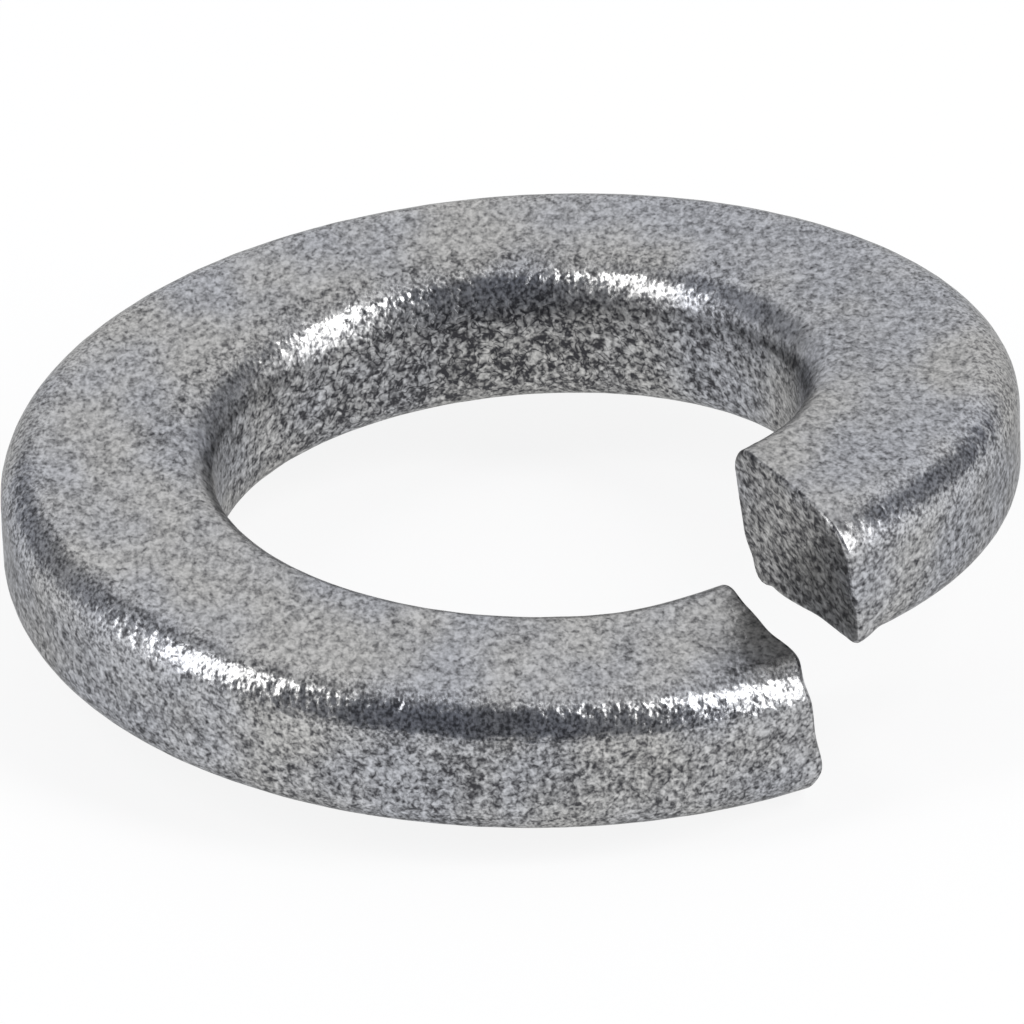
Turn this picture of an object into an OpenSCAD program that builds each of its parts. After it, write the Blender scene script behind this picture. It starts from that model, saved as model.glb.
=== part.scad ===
// Spring lock washer for a 9.5 mm bolt: one turn of rolled spring wire with rounded corners,
// cut through on a slant and sprung apart, so that one end stands higher than the other.
// The bore runs along +Z, the lowest point of the ring lies on z = 0 and the split faces +X.

/* [Wire] */
// Diameter of the bore that the bolt goes through
bore_d = 9.8; // [6:0.1:20]
// Width of the wire, from the bore to the outside of the ring
wire_w = 3.6; // [2:0.1:7]
// Thickness of the wire, along the bore
wire_t = 2.47; // [1.4:0.01:5]
// Radius of the wire's two corners on the outside of the ring
outer_corner_r = 0.75; // [0.2:0.05:1]
// Radius of the wire's two corners at the bore
inner_corner_r = 0.6; // [0.2:0.05:1]

/* [Spring] */
// How much higher a full turn of the wire ends than it starts
rise = 2.5; // [0.5:0.05:5]
// How far the climb swings from an even one, as a share of the rise: more makes the ends steeper
swing = 0.13; // [0:0.01:0.15]
// Where in its swing the climb is at the low end, in degrees
swing_start = 47; // [30:1:60]

/* [Split] */
// Angle round the axis that the split leaves open at the middle of the wire, in degrees
split_angle = 5.6; // [3:0.2:30]
// Angle between both cuts and the radius, in degrees
cut_turn = 15; // [0:1:25]
// Lean of the cut at the low end from the direction of the bore, in degrees
low_cut_lean = 4; // [0:1:15]
// Lean of the cut at the high end from the direction of the bore, in degrees
high_cut_lean = 8; // [0:1:15]

/* [Hidden] */

// Sections of the wire along the turn, and steps round one of its corners
stations = 120;
corner_steps = 5;
// A corner takes no more than this share of the wire's thickness or width
corner_share = 0.45;
// The wire is swept this far into the bore, which a true cylinder then clears
bore_skin = 0.02;
// The cylinder that clears the bore runs on this far above and below the ring
bore_run_on = 1;

bore_r = bore_d / 2;
outer_r = bore_r + wire_w;
mid_r = (bore_r + outer_r) / 2;
corner_limit = corner_share * min(wire_t, wire_w);
outer_corner = min(outer_corner_r, corner_limit);
inner_corner = min(inner_corner_r, corner_limit);

// Where the two ends lie round the axis. From the low one the wire climbs clockwise, seen from above.
low_end = -split_angle / 2;
high_end = split_angle / 2 - 360;

// Height that the wire has gained once it has gone round to an angle
function climb(angle) =
    let (gone = low_end - angle)
    rise * (gone / 360 + swing * (sin(gone + swing_start) - sin(swing_start)));

// The arc of one corner of the wire from one of its ends to the other, as [radius, height] points
function arc(centre, size, from, first, last) =
    [for (i = [first:last])
        let (a = from + 90 * i / corner_steps)
        centre + size * [cos(a), sin(a)]];

// Outline of the wire. The side at the bore stands proud by the skin.
wire_outline = concat(
    [[bore_r - bore_skin, inner_corner]],
    arc([bore_r + inner_corner, inner_corner], inner_corner, 180, 1, corner_steps),
    arc([outer_r - outer_corner, outer_corner], outer_corner, 270, 0, corner_steps),
    arc([outer_r - outer_corner, wire_t - outer_corner], outer_corner, 0, 0, corner_steps),
    arc([bore_r + inner_corner, wire_t - inner_corner], inner_corner, 90, 0, corner_steps - 1),
    [[bore_r - bore_skin, wire_t - inner_corner]]
);

// Where a point of the outline lies once the wire has gone round to an angle
function carried(p, angle) = [p[0] * cos(angle), p[0] * sin(angle), p[1] + climb(angle)];

// Direction square to a cut
function cut_normal(end, lean) =
    [-sin(end - cut_turn) * cos(lean), cos(end - cut_turn) * cos(lean), sin(lean)];

// A closer guess at the angle where the line of one point of the outline meets a cut
function closer(p, end, normal, angle) =
    let (miss = (carried(p, angle) - carried([mid_r, wire_t / 2], end)) * normal)
    let (way = [-p[0] * sin(angle), p[0] * cos(angle), -rise / (2 * PI)] * normal)
    angle - miss / way * 180 / PI;

// That angle, which three corrections give
function meets_cut(p, end, normal) =
    closer(p, end, normal, closer(p, end, normal, closer(p, end, normal, end)));

// The wire: each point of its outline runs on a line of its own from the low cut to the high one
module swept_wire() {
    low_normal = cut_normal(low_end, low_cut_lean);
    high_normal = cut_normal(high_end, high_cut_lean);
    starts = [for (p = wire_outline) meets_cut(p, low_end, low_normal)];
    stops = [for (p = wire_outline) meets_cut(p, high_end, high_normal)];
    count = len(wire_outline);
    points = [
        for (s = [0:stations], i = [0:count - 1])
            carried(wire_outline[i], starts[i] + (stops[i] - starts[i]) * s / stations)
    ];
    sides = [
        for (s = [0:stations - 1], i = [0:count - 1])
            let (a = s * count + i)
            let (b = s * count + (i + 1) % count)
            [a, a + count, b + count, b]
    ];
    low_cut = [for (i = [0:count - 1]) i];
    high_cut = [for (i = [count - 1:-1:0]) stations * count + i];
    lowest = min([for (q = points) q[2]]);
    translate([0, 0, -lowest]) polyhedron(points, concat(sides, [low_cut, high_cut]), convexity = 6);
}

// The washer: the swept wire with its bore made truly round
module lock_washer() {
    color([0.62, 0.63, 0.65])
    difference() {
        swept_wire();
        translate([0, 0, -bore_run_on])
            cylinder(h = wire_t + rise + 2 * bore_run_on, r = bore_r, $fn = 180);
    }
}

lock_washer();
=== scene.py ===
import math

import bmesh
import bpy
import numpy as np
from mathutils import Matrix, Vector, noise


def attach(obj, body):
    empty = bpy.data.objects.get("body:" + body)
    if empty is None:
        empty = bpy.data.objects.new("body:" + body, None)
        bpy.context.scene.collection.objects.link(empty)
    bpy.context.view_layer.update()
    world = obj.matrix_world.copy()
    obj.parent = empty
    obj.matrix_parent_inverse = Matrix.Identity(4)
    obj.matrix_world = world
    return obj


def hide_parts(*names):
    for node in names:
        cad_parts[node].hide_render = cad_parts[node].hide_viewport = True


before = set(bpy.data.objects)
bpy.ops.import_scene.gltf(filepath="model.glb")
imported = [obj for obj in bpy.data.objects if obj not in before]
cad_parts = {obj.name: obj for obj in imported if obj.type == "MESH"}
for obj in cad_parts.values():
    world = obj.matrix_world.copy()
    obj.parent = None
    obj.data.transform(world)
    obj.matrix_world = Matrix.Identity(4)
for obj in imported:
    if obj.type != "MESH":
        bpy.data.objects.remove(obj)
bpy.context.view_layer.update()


# The camera: a long lens a quarter of a metre away, which looks down on the split from its right.
# It is aimed just under the middle of the ring and held a little askew, as in the photograph.
MM = 0.001
LOOKS_AT = Vector((0.247, -0.206, 1.95)) * MM
CAMERA_TURN = math.radians(49.293)
CAMERA_HEIGHT = math.radians(29.675)
CAMERA_ROLL = math.radians(-2.147)
CAMERA_DISTANCE = 247.65 * MM
LENS = 523.19
SENSOR = 36
NEAREST = 0.01
FARTHEST = 10


def seen_from(turn, height):
    """Direction from the ring towards a place at an angle round it and a height above it."""
    flat = math.cos(height)
    return Vector((math.sin(turn) * flat, -math.cos(turn) * flat, math.sin(height)))


def facing(back, roll):
    """Turn of a camera or lamp whose back points one way, rolled about its own line of sight."""
    right = Vector((0, 0, 1)).cross(back).normalized()
    up = back.cross(right)
    across = right * math.cos(roll) + up * math.sin(roll)
    return Matrix((across, back.cross(across), back)).transposed()


def put(thing, name, centre, back, roll):
    """Links an object to the scene at a place, with its back to one side."""
    made = bpy.data.objects.new(name, thing)
    made.matrix_world = Matrix.Translation(centre) @ facing(back, roll).to_4x4()
    bpy.context.scene.collection.objects.link(made)
    return made


camera_side = seen_from(CAMERA_TURN, CAMERA_HEIGHT)
camera_data = bpy.data.cameras.new("camera")
camera_data.lens = LENS
camera_data.sensor_width = SENSOR
camera_data.clip_start = NEAREST
camera_data.clip_end = FARTHEST
camera_place = LOOKS_AT + camera_side * CAMERA_DISTANCE
camera = put(camera_data, "camera", camera_place, camera_side, CAMERA_ROLL)
bpy.context.scene.camera = camera
bpy.context.scene.view_settings.view_transform = "Standard"


# The studio: two tall softboxes on either side, which lean towards the camera at the bottom, and a
# dim strip overhead between their tops. The wall behind the ring is pale, with a dark gap between it
# and each softbox, and the room behind the camera is dark.
LAMP_DISTANCE = 0.5
# How far round from the camera each lamp stands, how high and how askew, and how long and wide it
# looks from the ring, all in degrees, and how bright it is
LAMPS = {
    "right_softbox": {"turn": 72.6, "height": 39.5, "lean": -18.6, "long": 62, "wide": 17, "glow": 5.2},
    "left_softbox": {"turn": -82.5, "height": 43.5, "lean": 17.5, "long": 50, "wide": 15.5, "glow": 3.8},
    "top_strip": {"turn": 150, "height": 75, "lean": 90, "long": 38, "wide": 5, "glow": 1.1},
}
WALL_COLOUR = (0.99, 0.99, 1.0, 1)
ROOM_COLOUR = (0.17, 0.178, 0.205, 1)
# A dark patch's reach is how far from its middle it ends, and from where it is full, in degrees
ROOM_HEIGHT = 32
ROOM_REACH = (76, 42)
GAPS = [
    {"turn": 124, "height": 26, "reach": (33, 12), "depth": 0.88},
    {"turn": -130, "height": 28, "reach": (36, 14), "depth": 0.78},
]
CEILING_HEIGHT = 90
CEILING_REACH = (60, 10)
CEILING_DEPTH = 0.5


class Shade:
    """One output of a node tree. Sums and products with it add Math nodes."""

    def __init__(self, tree, socket=None):
        self.tree = tree
        self.socket = socket

    def node(self, kind, settings, inputs, output=0):
        """Adds a node: its settings first, then the values or links of its sockets. Gives one output."""
        made = self.tree.nodes.new(kind)
        for name, value in settings.items():
            setattr(made, name, value)
        for name, value in inputs.items():
            if isinstance(value, Shade):
                self.tree.links.new(value.socket, made.inputs[name])
            else:
                made.inputs[name].default_value = value
        return Shade(self.tree, made.outputs[output]) if made.outputs else None

    def math(self, operation, first, second):
        return self.node("ShaderNodeMath", {"operation": operation}, {0: first, 1: second})

    def __add__(self, other):
        return self.math("ADD", self, other)

    __radd__ = __add__

    def __sub__(self, other):
        return self.math("SUBTRACT", self, other)

    def __rsub__(self, other):
        return self.math("SUBTRACT", other, self)

    def __mul__(self, other):
        return self.math("MULTIPLY", self, other)

    __rmul__ = __mul__

    def smooth(self, low, high):
        """0 up to low and 1 from high on, with a soft step between."""
        settings = {"interpolation_type": "SMOOTHSTEP"}
        return self.node("ShaderNodeMapRange", settings, {"Value": self, "From Min": low, "From Max": high})

    def mixed(self, first, second):
        """The first colour where this is 0, and the second where it is 1."""
        settings = {"data_type": "RGBA"}
        return self.node("ShaderNodeMix", settings, {"Factor": self, 6: first, 7: second}, 2)


def new_tree(owner):
    """The emptied node tree of a material or world, ready for its first node."""
    owner.use_nodes = True
    owner.node_tree.nodes.clear()
    return Shade(owner.node_tree)


for name, lamp in LAMPS.items():
    side = seen_from(CAMERA_TURN + math.radians(lamp["turn"]), math.radians(lamp["height"]))
    light = bpy.data.lights.new(name, "AREA")
    light.shape = "RECTANGLE"
    light.size = 2 * LAMP_DISTANCE * math.tan(math.radians(lamp["wide"]) / 2)
    light.size_y = 2 * LAMP_DISTANCE * math.tan(math.radians(lamp["long"]) / 2)
    light.energy = lamp["glow"] * math.pi * light.size * light.size_y
    put(light, name, side * LAMP_DISTANCE, side, math.radians(lamp["lean"]))

world = bpy.data.worlds.new("room")
bpy.context.scene.world = world
room = new_tree(world)
direction = room.node("ShaderNodeTexCoord", {}, {}, "Generated")


def dark_patch(turn, height, reach):
    """1 towards a place of the room and 0 further from it than the reach, in degrees."""
    centre = seen_from(CAMERA_TURN + math.radians(turn), math.radians(height))
    settings = {"operation": "DOT_PRODUCT"}
    towards = direction.node("ShaderNodeVectorMath", settings, {0: direction, 1: centre}, "Value")
    return towards.smooth(*(math.cos(math.radians(angle)) for angle in reach))


brightness = 1 - dark_patch(0, ROOM_HEIGHT, ROOM_REACH)
brightness = brightness * (1 - CEILING_DEPTH * dark_patch(0, CEILING_HEIGHT, CEILING_REACH))
for gap in GAPS:
    brightness = brightness * (1 - gap["depth"] * dark_patch(gap["turn"], gap["height"], gap["reach"]))
room_colour = (1 - brightness).mixed(WALL_COLOUR, ROOM_COLOUR)
glow = room.node("ShaderNodeBackground", {}, {"Color": room_colour})
room.node("ShaderNodeOutputWorld", {}, {"Surface": glow})


# The table: a plain white sheet, lit from below so that the ring throws only a faint shadow.
# It is a part of the stage, and the ring lies on it.
TABLE_SIZE = 4
TABLE_GLOW = 0.86
TABLE_COLOUR = (0.15, 0.15, 0.15, 1)

half = TABLE_SIZE / 2
table_mesh = bpy.data.meshes.new("table")
table_mesh.from_pydata(
    [(-half, -half, 0), (half, -half, 0), (half, half, 0), (-half, half, 0)], [], [(0, 1, 2, 3)])
table = bpy.data.objects.new("table", table_mesh)
bpy.context.scene.collection.objects.link(table)
sheet = bpy.data.materials.new("white_sheet")
bench = new_tree(sheet)
lit = bench.node("ShaderNodeBsdfDiffuse", {}, {"Color": TABLE_COLOUR})
from_below = bench.node("ShaderNodeEmission", {}, {"Strength": TABLE_GLOW})
both = bench.node("ShaderNodeAddShader", {}, {0: lit, 1: from_below})
bench.node("ShaderNodeOutputMaterial", {}, {"Surface": both})
table_mesh.materials.append(sheet)


# The washer: one turn of square-cut spring wire, rolled with round corners, coiled, sheared off,
# hardened and then zinc plated in a tumbling drum, which pits its faces and burnishes its corners.
# It stands for the CAD ring, with the same sizes in mm and degrees.
BORE_D = 9.8
WIRE_W = 3.6
WIRE_T = 2.47
OUTER_CORNER = 0.75
INNER_CORNER = 0.6
RISE = 2.5
SWING = 0.13
SWING_START = 47
SPLIT_ANGLE = 5.6
CUT_TURN = 15
LOW_CUT_LEAN = 4
HIGH_CUT_LEAN = 8
BORE_R = BORE_D / 2
OUTER_R = BORE_R + WIRE_W
MID_R = (BORE_R + OUTER_R) / 2
LOW_END = -SPLIT_ANGLE / 2
HIGH_END = SPLIT_ANGLE / 2 - 360

# The mesh: points round the wire, rows along the turn, round the edge of a cut and up its face, the
# steps round a corner and towards a cut, and how near to each other two points are one, in mm
AROUND = 136
ALONG = 540
EDGE_ROWS = 5
CUT_ROWS = 14
CORNER_STEPS = 60
CUT_STEPS = 4
SAME_PLACE = 0.0001

# Wear, in mm: how round the edges of the cuts are, and the bore's top corner where it is worn, and
# how high the lumps are. They are sunk by more than they rise, so none stands proud of the CAD ring.
EDGE_ROUND = 0.08
WORN_CORNER = 0.92
LUMP_HEIGHT = 0.006
LUMP_SINK = 1.1
LUMPS_PER_MM = 2.4

# Spots round the wire, beside its corners: how far past the middle of which corner, in mm, on the
# way down the bore, out along the underside, up the wall and back along the top
SPOTS = {
    "foot_bore_start": ("bore_low", 0.3),
    "foot_bore_half": ("bore_low", 0.9),
    "wall": ("out_low", 0.494),
    "crest": ("out_high", 0.3),
    "top_out_half": ("out_high", 0.72),
    "top_bore_half": ("bore_high", -0.9),
    "bore_rim": ("bore_high", -0.6),
    "bore_crown": ("bore_high", -0.15),
}

# What shearing did to the two ends, in mm: where round the wire, how far round it and along the turn
# the change reaches, how far the surface moves out, and how far it moves on past the cut
END_MARKS = [
    {"end": "low", "at": "bore_high", "round": 0.9, "along": 2.2, "out": 0.095, "on": 0.05},
    {"end": "low", "at": "top_bore_half", "round": 1.5, "along": 1.4, "out": -0.01, "on": 0.08},
    {"end": "low", "at": "top_out_half", "round": 0.9, "along": 0.7, "out": 0.0, "on": 0.11},
    {"end": "low", "at": "out_high", "round": 0.5, "along": 0.5, "out": 0.0, "on": -0.04},
    {"end": "low", "at": "wall", "round": 0.7, "along": 0.7, "out": 0.0, "on": 0.08},
    {"end": "low", "at": "out_low", "round": 0.5, "along": 0.5, "out": 0.0, "on": -0.05},
    {"end": "high", "at": "crest", "round": 0.7, "along": 2.6, "out": -0.05, "on": 0.0},
    {"end": "high", "at": "bore_high", "round": 0.5, "along": 0.4, "out": -0.02, "on": -0.02},
    {"end": "high", "at": "bore_low", "round": 0.6, "along": 0.4, "out": 0.0, "on": -0.05},
    {"end": "high", "at": "foot_bore_start", "round": 0.36, "along": 0.35, "out": 0.13, "on": 0.0},
    {"end": "high", "at": "foot_bore_half", "round": 1.4, "along": 0.6, "out": 0.15, "on": 0.0},
    {"end": "high", "at": "out_low", "round": 0.45, "along": 0.6, "out": 0.12, "on": 0.03},
]

# Stretches of the turn, each the angle of its middle and its reach to either side: the front and the
# back, where the bore's corner is worn, the painted dark line on the outer corner and the painted
# shade beside the bore's top corner
FRONT = (-40, 80)
BACK = (-215, 85)
WORN = (-212, 115)
DARK_LINE_STRETCH = (-88, 60)
DARK_RIM_STRETCH = (-148, 48)

# Burnished corners: how much, and how far round the wire in mm. The crown of the bore's corner is
# burnished too, fading between two angles from the middle of its worn stretch.
BURNISHED = {"out_high": (1.0, 0.95), "out_low": (0.35, 0.9), "bore_low": (0.2, 0.7)}
CROWN_REACH = 0.75
CROWN_FADES = (45, 78)
# The high cut dulls them: how much, and how far along the turn in mm
DULLED = 0.8
DULL_REACH = 0.7

# Pits and painted shade, from 0 to 1: how many pits there are on each side of the wire, how much
# painted shade is added in a stretch of the turn, and how far round the wire from a spot, in mm
WALL_PITS = 0.24
# Painted shade: the front of the outer wall is darkened more, as if shaded
FRONT_PAINTED_SHADE = 0.24
BORE_PITS = 0.3
# Painted shade: the back of the bore is darkened more, as if shaded
BACK_PAINTED_SHADE = 0.62
UNDERSIDE_PITS = 0.3
# Painted shade: the top beside the bore's worn corner is darkened, as if shaded
WORN_RIM_PAINTED_SHADE = 0.4
WORN_RIM_PAINTED_SHADE_REACH = 0.5
# Painted shade: in one stretch the top beside the bore's corner is darkened more, as if shaded
DARK_RIM_PAINTED_SHADE = 0.22
DARK_RIM_PAINTED_SHADE_REACH = 0.6
# A painted dark line: the outer corner's crest is darkened along one stretch, as a dark reflection
CREST_PAINTED_LINE = 0.8
CREST_PAINTED_LINE_REACH = 0.16
# How squarely a surface faces a way where it starts to count as that side of the wire, and in full
FACES_BORE = (0.6, 1.0)
FACES_OUT = (0.4, 1.0)
FACES_DOWN = (0.3, 0.9)


def step(x, low, high):
    """0 below low and 1 above high, with a soft step between."""
    t = np.clip((x - low) / (high - low), 0, 1)
    return t * t * (3 - 2 * t)


def hump(x, reach):
    """1 at 0, falling softly to 0 at the reach on either side."""
    return 1 - step(np.abs(x), 0, reach)


def within(angle, stretch):
    """1 at the middle of a stretch of the turn, falling softly to 0 at its ends."""
    middle, reach = stretch
    return hump(angle - middle, reach)


def climb(angle):
    """Height that the wire has gained once it has gone round to an angle, in degrees."""
    gone = LOW_END - angle
    wave = np.sin(np.radians(gone + SWING_START)) - math.sin(math.radians(SWING_START))
    return RISE * (gone / 360 + SWING * wave)


def wire_outline(top_corner):
    """Points evenly round the wire from the middle of its bore side, with its top corner there so
    round: how far round they are, their radius, height and way out, how far round the middles of
    the corners are, and the length all round, in mm."""
    bends = {
        "bore_low": (BORE_R + INNER_CORNER, INNER_CORNER, INNER_CORNER, 180),
        "out_low": (OUTER_R - OUTER_CORNER, OUTER_CORNER, OUTER_CORNER, 270),
        "out_high": (OUTER_R - OUTER_CORNER, WIRE_T - OUTER_CORNER, OUTER_CORNER, 0),
        "bore_high": (BORE_R + top_corner, WIRE_T - top_corner, top_corner, 90),
    }
    dense = [(BORE_R, WIRE_T / 2, -1, 0)]
    middles = {}
    for name, (r, z, size, start) in bends.items():
        middles[name] = len(dense) + CORNER_STEPS // 2
        for turn in np.radians(np.linspace(start, start + 90, CORNER_STEPS + 1)):
            c, s = math.cos(turn), math.sin(turn)
            dense.append((r + size * c, z + size * s, c, s))
    dense.append(dense[0])
    dense = np.array(dense)
    run = np.concatenate([[0], np.cumsum(np.hypot(*np.diff(dense[:, :2], axis=0).T))])
    places = (np.arange(AROUND) / AROUND) * run[-1]
    r, z, out_r, out_z = (np.interp(places, run, column) for column in dense.T)
    length = np.hypot(out_r, out_z)
    corners = {name: run[middle] for name, middle in middles.items()}
    return places, r, z, out_r / length, out_z / length, corners, run[-1]


def cut_angles(r, z, end, lean):
    """Angle at which the line of the wire through each point of its section meets a cut."""
    a, tilt = math.radians(end - CUT_TURN), math.radians(lean)
    square = np.array([-math.sin(a) * math.cos(tilt), math.cos(a) * math.cos(tilt), math.sin(tilt)])
    angle = np.full(np.shape(r), float(end))
    centre = np.array([MID_R * math.cos(math.radians(end)), MID_R * math.sin(math.radians(end)),
                       WIRE_T / 2 + climb(end)])
    for _ in range(CUT_STEPS):
        c, s = np.cos(np.radians(angle)), np.sin(np.radians(angle))
        miss = (r * c - centre[0]) * square[0] + (r * s - centre[1]) * square[1]
        miss = miss + (z + climb(angle) - centre[2]) * square[2]
        way = -r * s * square[0] + r * c * square[1] - RISE / (2 * math.pi) * square[2]
        angle = angle - np.degrees(miss / way)
    return angle


places, r, z, out_r, out_z, spots, girth = wire_outline(INNER_CORNER)
worn_r, worn_z = wire_outline(WORN_CORNER)[1:3]
spine_r = np.clip(r, BORE_R + WIRE_T / 2, OUTER_R - WIRE_T / 2)
for name, (corner, past) in SPOTS.items():
    spots[name] = spots[corner] + past


def round_from(spot):
    """Distance of each point of the outline from a spot, the short way round the wire, in mm."""
    away = places - spots[spot]
    return (away + girth / 2) % girth - girth / 2


# Each row of the mesh runs once round the wire: up from the middle of the low cut to its edge,
# round that edge, along the turn, and back down the high cut. A row is the share of the turn, the
# way in from the cut, how far it draws in from the outline, and the share of the cut face.
turns = np.radians(np.linspace(90, 0, EDGE_ROWS, endpoint=False))
cut_rows = [(0.0, 1.0, share) for share in np.linspace(0, 1, CUT_ROWS, endpoint=False)]
cut_rows += [(EDGE_ROUND * (1 - math.sin(t)), 1 - math.cos(t), 1.0) for t in turns]
rows = [(0.0, *row) for row in cut_rows]
rows += [(u, EDGE_ROUND, 0.0, 1.0) for u in np.linspace(0, 1, ALONG)]
rows += [(1.0, *row) for row in cut_rows[::-1]]

in_bore, outside, below = step(-out_r, *FACES_BORE), step(out_r, *FACES_OUT), step(-out_z, *FACES_DOWN)
corner_shine = sum(much * hump(round_from(spot), reach) for spot, (much, reach) in BURNISHED.items())
section_r, section_z, angles, cut, burnish, pitting_and_shade = [], [], [], [], [], []
for u, in_from_cut, drawn_in, share in rows:
    wear = within(LOW_END + (HIGH_END - LOW_END) * u, WORN)
    drawn = EDGE_ROUND * drawn_in
    rim_r = r + (worn_r - r) * wear - out_r * drawn
    rim_z = z + (worn_z - z) * wear - out_z * drawn
    row_r = spine_r + (rim_r - spine_r) * share
    row_z = WIRE_T / 2 + (rim_z - WIRE_T / 2) * share
    start = cut_angles(row_r, row_z, LOW_END, LOW_CUT_LEAN) - np.degrees(in_from_cut / row_r)
    stop = cut_angles(row_r, row_z, HIGH_END, HIGH_CUT_LEAN) + np.degrees(in_from_cut / row_r)
    angle = start + (stop - start) * u
    from_cut = {"low": np.radians(start - angle) * row_r, "high": np.radians(angle - stop) * row_r}
    front, back, dark_line, dark_rim = (within(angle, stretch) for stretch in (FRONT, BACK, DARK_LINE_STRETCH, DARK_RIM_STRETCH))
    for mark in END_MARKS:
        weight = hump(round_from(mark["at"]), mark["round"]) * share ** 2
        weight = weight * hump(from_cut[mark["end"]], mark["along"])
        row_r = row_r + out_r * mark["out"] * weight
        row_z = row_z + out_z * mark["out"] * weight
        onward = 1 if mark["end"] == "low" else -1
        angle = angle + onward * np.degrees(mark["on"] * weight / row_r)
    section_r.append(row_r)
    section_z.append(row_z)
    angles.append(angle)
    on_face = float(drawn_in > 0)
    cut.append(np.full(AROUND, on_face))
    crown_shine = hump(round_from("bore_crown"), CROWN_REACH)
    crown_shine = crown_shine * (1 - step(np.abs(angle - WORN[0]), *CROWN_FADES))
    dulled = hump(from_cut["high"], DULL_REACH) * DULLED
    burnish.append(np.clip(corner_shine + crown_shine, 0, 1) * (1 - on_face) * (1 - dulled))
    # Pits, with painted shade added: darker on the front of the outer wall, the back of the bore and beside
    # the bore's top corner, and a painted dark line along the outer corner's crest
    pits_and_shade = outside * (WALL_PITS + FRONT_PAINTED_SHADE * front) + in_bore * (BORE_PITS + BACK_PAINTED_SHADE * back)
    pits_and_shade = pits_and_shade + below * UNDERSIDE_PITS
    pits_and_shade = pits_and_shade + hump(round_from("bore_rim"), WORN_RIM_PAINTED_SHADE_REACH) * WORN_RIM_PAINTED_SHADE * wear
    pits_and_shade = pits_and_shade + hump(round_from("bore_rim"), DARK_RIM_PAINTED_SHADE_REACH) * DARK_RIM_PAINTED_SHADE * dark_rim
    pits_and_shade = pits_and_shade + hump(round_from("crest"), CREST_PAINTED_LINE_REACH) * CREST_PAINTED_LINE * dark_line
    pitting_and_shade.append(np.clip(pits_and_shade, 0, 1) * (1 - on_face))
section_r, section_z, angles = np.array(section_r), np.array(section_z), np.array(angles)


def set_out(radius, height, angle):
    """Points of the wire in mm, from their radius, height in the wire's section and angle."""
    turned = np.radians(angle)
    return np.stack([radius * np.cos(turned), radius * np.sin(turned), height + climb(angle)], axis=-1)


# The drum and the rolls leave the wire slightly lumpy, less so towards the middle of a cut
points = set_out(section_r, section_z, angles)
lumps = np.array([noise.noise(Vector(p) * LUMPS_PER_MM) for p in points.reshape(-1, 3)])
shares = np.array(rows)[:, 3:]
lumps = (lumps.reshape(section_r.shape) - LUMP_SINK) * LUMP_HEIGHT * shares
points = set_out(section_r + out_r * lumps, section_z + out_z * lumps, angles)
points[..., 2] -= points[..., 2].min()

index = np.arange(len(rows) * AROUND).reshape(len(rows), AROUND)
here, there = index[:-1], index[1:]
faces = np.stack([here, np.roll(here, -1, 1), np.roll(there, -1, 1), there], axis=-1).reshape(-1, 4)
washer_mesh = bpy.data.meshes.new("lock_washer")
washer_mesh.from_pydata((points.reshape(-1, 3) * MM).tolist(), [], faces.tolist())
for name, values in {"burnish": burnish, "pitting_and_shade": pitting_and_shade, "cut": cut}.items():
    layer = washer_mesh.attributes.new(name, "FLOAT", "POINT")
    layer.data.foreach_set("value", np.array(values, dtype=np.float32).ravel())
# The first row on each cut folds onto one line, where its points are merged
closed = bmesh.new()
closed.from_mesh(washer_mesh)
bmesh.ops.remove_doubles(closed, verts=closed.verts, dist=SAME_PLACE * MM)
closed.to_mesh(washer_mesh)
closed.free()
washer_mesh.shade_smooth()
washer = bpy.data.objects.new("zinc_plated_ring", washer_mesh)
bpy.context.scene.collection.objects.link(washer)

# The zinc: pale on the faces, with dark pits that are densest in the bore and on the cuts, and thin
# dark cracks among them. Painted shade darkens the front of the outer wall, the back of the bore and
# the top beside the bore's corner, with a painted dark line along the outer corner. The speckle is
# drawn out along the floor, at an angle round the ring.
WARM_ZINC = (0.66, 0.655, 0.64, 1)
COOL_ZINC = (0.625, 0.64, 0.68, 1)
PIT_AND_SHADE_COLOUR = (0.05, 0.05, 0.055, 1)
EDGE_TINT = (0.55, 0.55, 0.55, 1)
SPECKLE_TURN = math.radians(49.293)
SPECKLE_DRAW = 1.6
SPECKLE_MIDDLE = 0.5
STAINS_PER_MM = 0.4
PATCHES_PER_MM = 2.6
CRACKS_PER_MM = 5
DENTS_PER_MM = 6
GRAINS_PER_MM = 9
FINE_GRAINS_PER_MM = 19
GRAIN_TWIST = 0.5
CRACK_TWIST = 0.8
CRACK_WIDTH = 0.003
STAIN_EDGE = (0.35, 0.65)

# What each counts for on the clean faces, and how much more in the pits and painted shade, on the
# cuts and where the zinc shines. The speckles add up to the mottle, which the contrast and lightness
# then set.
GRAIN = {"clean": 0.58, "cuts": 0.1, "shine": -0.3}
FINE_GRAIN = {"clean": 0.34, "pits_and_shade": -0.1, "cuts": -0.12, "shine": 0.3}
PATCHES = {"clean": 0.08, "pits_and_shade": 0.1}
CONTRAST = {"clean": 1.78, "pits_and_shade": 0.95, "shine": 1.0}
LIGHTNESS = {"clean": 0.565, "pits_and_shade": -0.2}
ROUGHNESS = {"clean": 0.3, "pits_and_shade": 0.15, "shine": -0.1}
GRAIN_RELIEF = {"clean": 0.12, "pits_and_shade": 0.06}
DENT_RELIEF = {"clean": 0.15, "shine": 0.46}
FINE_RELIEF = 0.05
CRACK_RELIEF = 0.06
RELIEF_HEIGHT = 0.05
PITS_ON_CUTS = 0.5
STAIN_CONTRAST = 0.15
CRACK_DARKNESS = 0.3
SHINE_LIGHTNESS = 0.12
SHINE_COVER = 0.15

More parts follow.
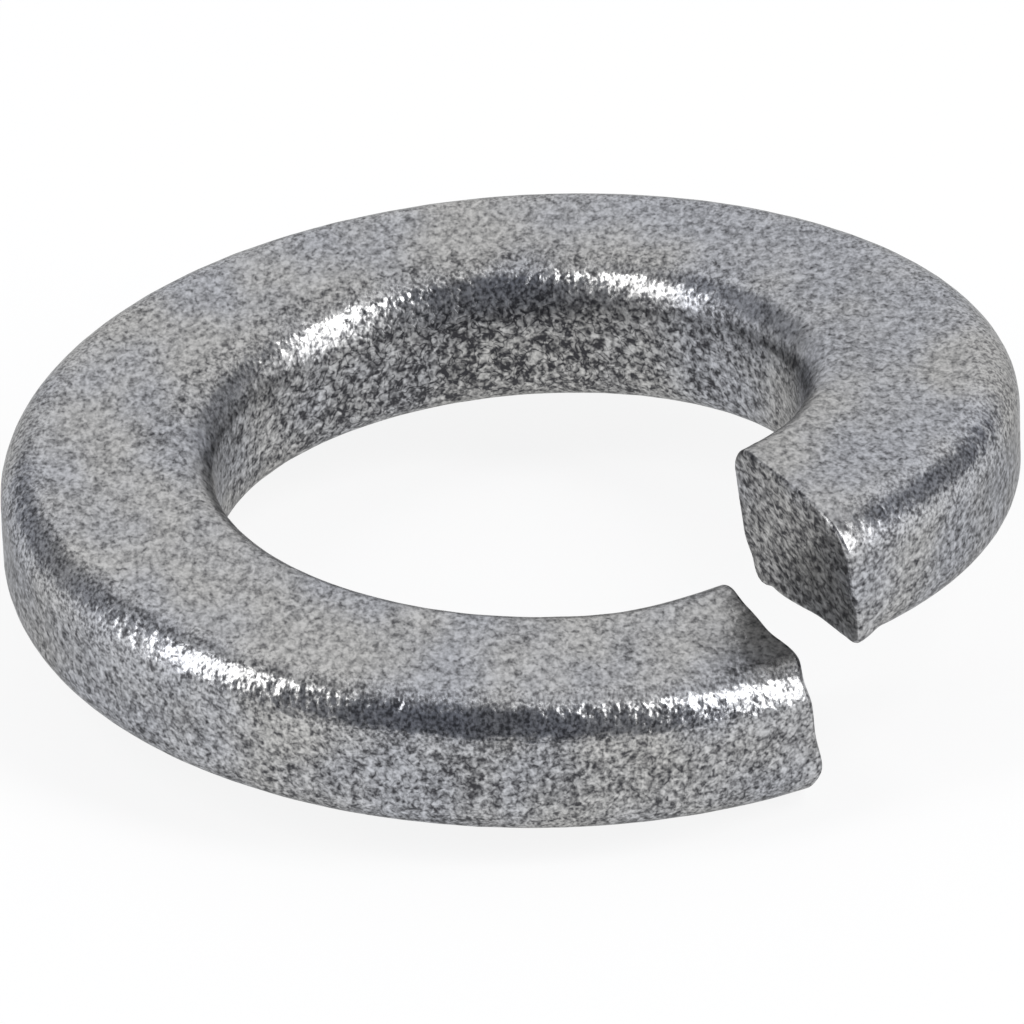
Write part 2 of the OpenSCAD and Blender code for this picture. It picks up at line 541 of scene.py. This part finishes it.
zinc = bpy.data.materials.new("galvanised_steel")
coat = new_tree(zinc)
place = coat.node("ShaderNodeTexCoord", {}, {}, "Object")
drawn_out = place.node("ShaderNodeMapping", {"vector_type": "TEXTURE"}, {
    "Vector": place,
    "Rotation": (0, 0, SPECKLE_TURN),
    "Scale": (MM, SPECKLE_DRAW * MM, MM),
})


def speckle(per_mm, detail, twist=0.0):
    """Noise between 0 and 1 with so many grains to the millimetre."""
    values = {"Vector": drawn_out, "Scale": per_mm, "Detail": detail, "Roughness": 0.5, "Distortion": twist}
    return drawn_out.node("ShaderNodeTexNoise", {}, values)


grain = speckle(GRAINS_PER_MM, 1, GRAIN_TWIST)
patches = speckle(PATCHES_PER_MM, 1, GRAIN_TWIST)
crossing = speckle(CRACKS_PER_MM, 1, CRACK_TWIST) - SPECKLE_MIDDLE
cracks = 1 - (crossing * crossing).smooth(0, CRACK_WIDTH)
stains = speckle(STAINS_PER_MM, 2)
fine = speckle(FINE_GRAINS_PER_MM, 1)
dents = speckle(DENTS_PER_MM, 1)
# The pitting mask also carries the painted shade, so it darkens and roughens those places too
burnished, pitted_and_shaded, on_cut = (coat.node("ShaderNodeAttribute", {"attribute_name": name}, {}, "Fac")
                             for name in ("burnish", "pitting_and_shade", "cut"))
pitted_and_shaded = pitted_and_shaded + on_cut * PITS_ON_CUTS


def varied(clean, pits_and_shade=0, cuts=0, shine=0):
    """A value for clean faces that changes in the pits and painted shade, on the cuts and where zinc
    shines.
    """
    value = clean
    for mark, change in ((pitted_and_shaded, pits_and_shade), (on_cut, cuts), (burnished, shine)):
        if change:
            value = value + mark * change
    return value


mottle = grain * varied(**GRAIN) + fine * varied(**FINE_GRAIN) + patches * varied(**PATCHES)
zinc_tone_and_shade = (mottle - SPECKLE_MIDDLE) * varied(**CONTRAST) + varied(**LIGHTNESS)
zinc_tone_and_shade = zinc_tone_and_shade + (stains - SPECKLE_MIDDLE) * STAIN_CONTRAST
cracks = cracks * pitted_and_shaded * (1 - burnished)
zinc_tone_and_shade = (zinc_tone_and_shade - cracks * CRACK_DARKNESS).smooth(0, 1)
zinc_tone_and_shade = burnished * SHINE_LIGHTNESS + zinc_tone_and_shade * (1 - burnished * SHINE_COVER)
zinc_tint = stains.smooth(*STAIN_EDGE).mixed(COOL_ZINC, WARM_ZINC)
relief = grain * varied(**GRAIN_RELIEF) + fine * FINE_RELIEF
relief = relief + dents * varied(**DENT_RELIEF) - cracks * CRACK_RELIEF
bump = coat.node("ShaderNodeBump", {}, {"Strength": 1, "Distance": RELIEF_HEIGHT * MM, "Height": relief})
surface = coat.node("ShaderNodeBsdfPrincipled", {}, {
    "Base Color": zinc_tone_and_shade.mixed(PIT_AND_SHADE_COLOUR, zinc_tint),
    "Metallic": 1.0,
    "Roughness": varied(**ROUGHNESS),
    "Specular Tint": EDGE_TINT,
    "Normal": bump,
})
coat.node("ShaderNodeOutputMaterial", {}, {"Surface": surface})
washer_mesh.materials.append(zinc)
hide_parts("lock_washer")
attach(washer, "root")
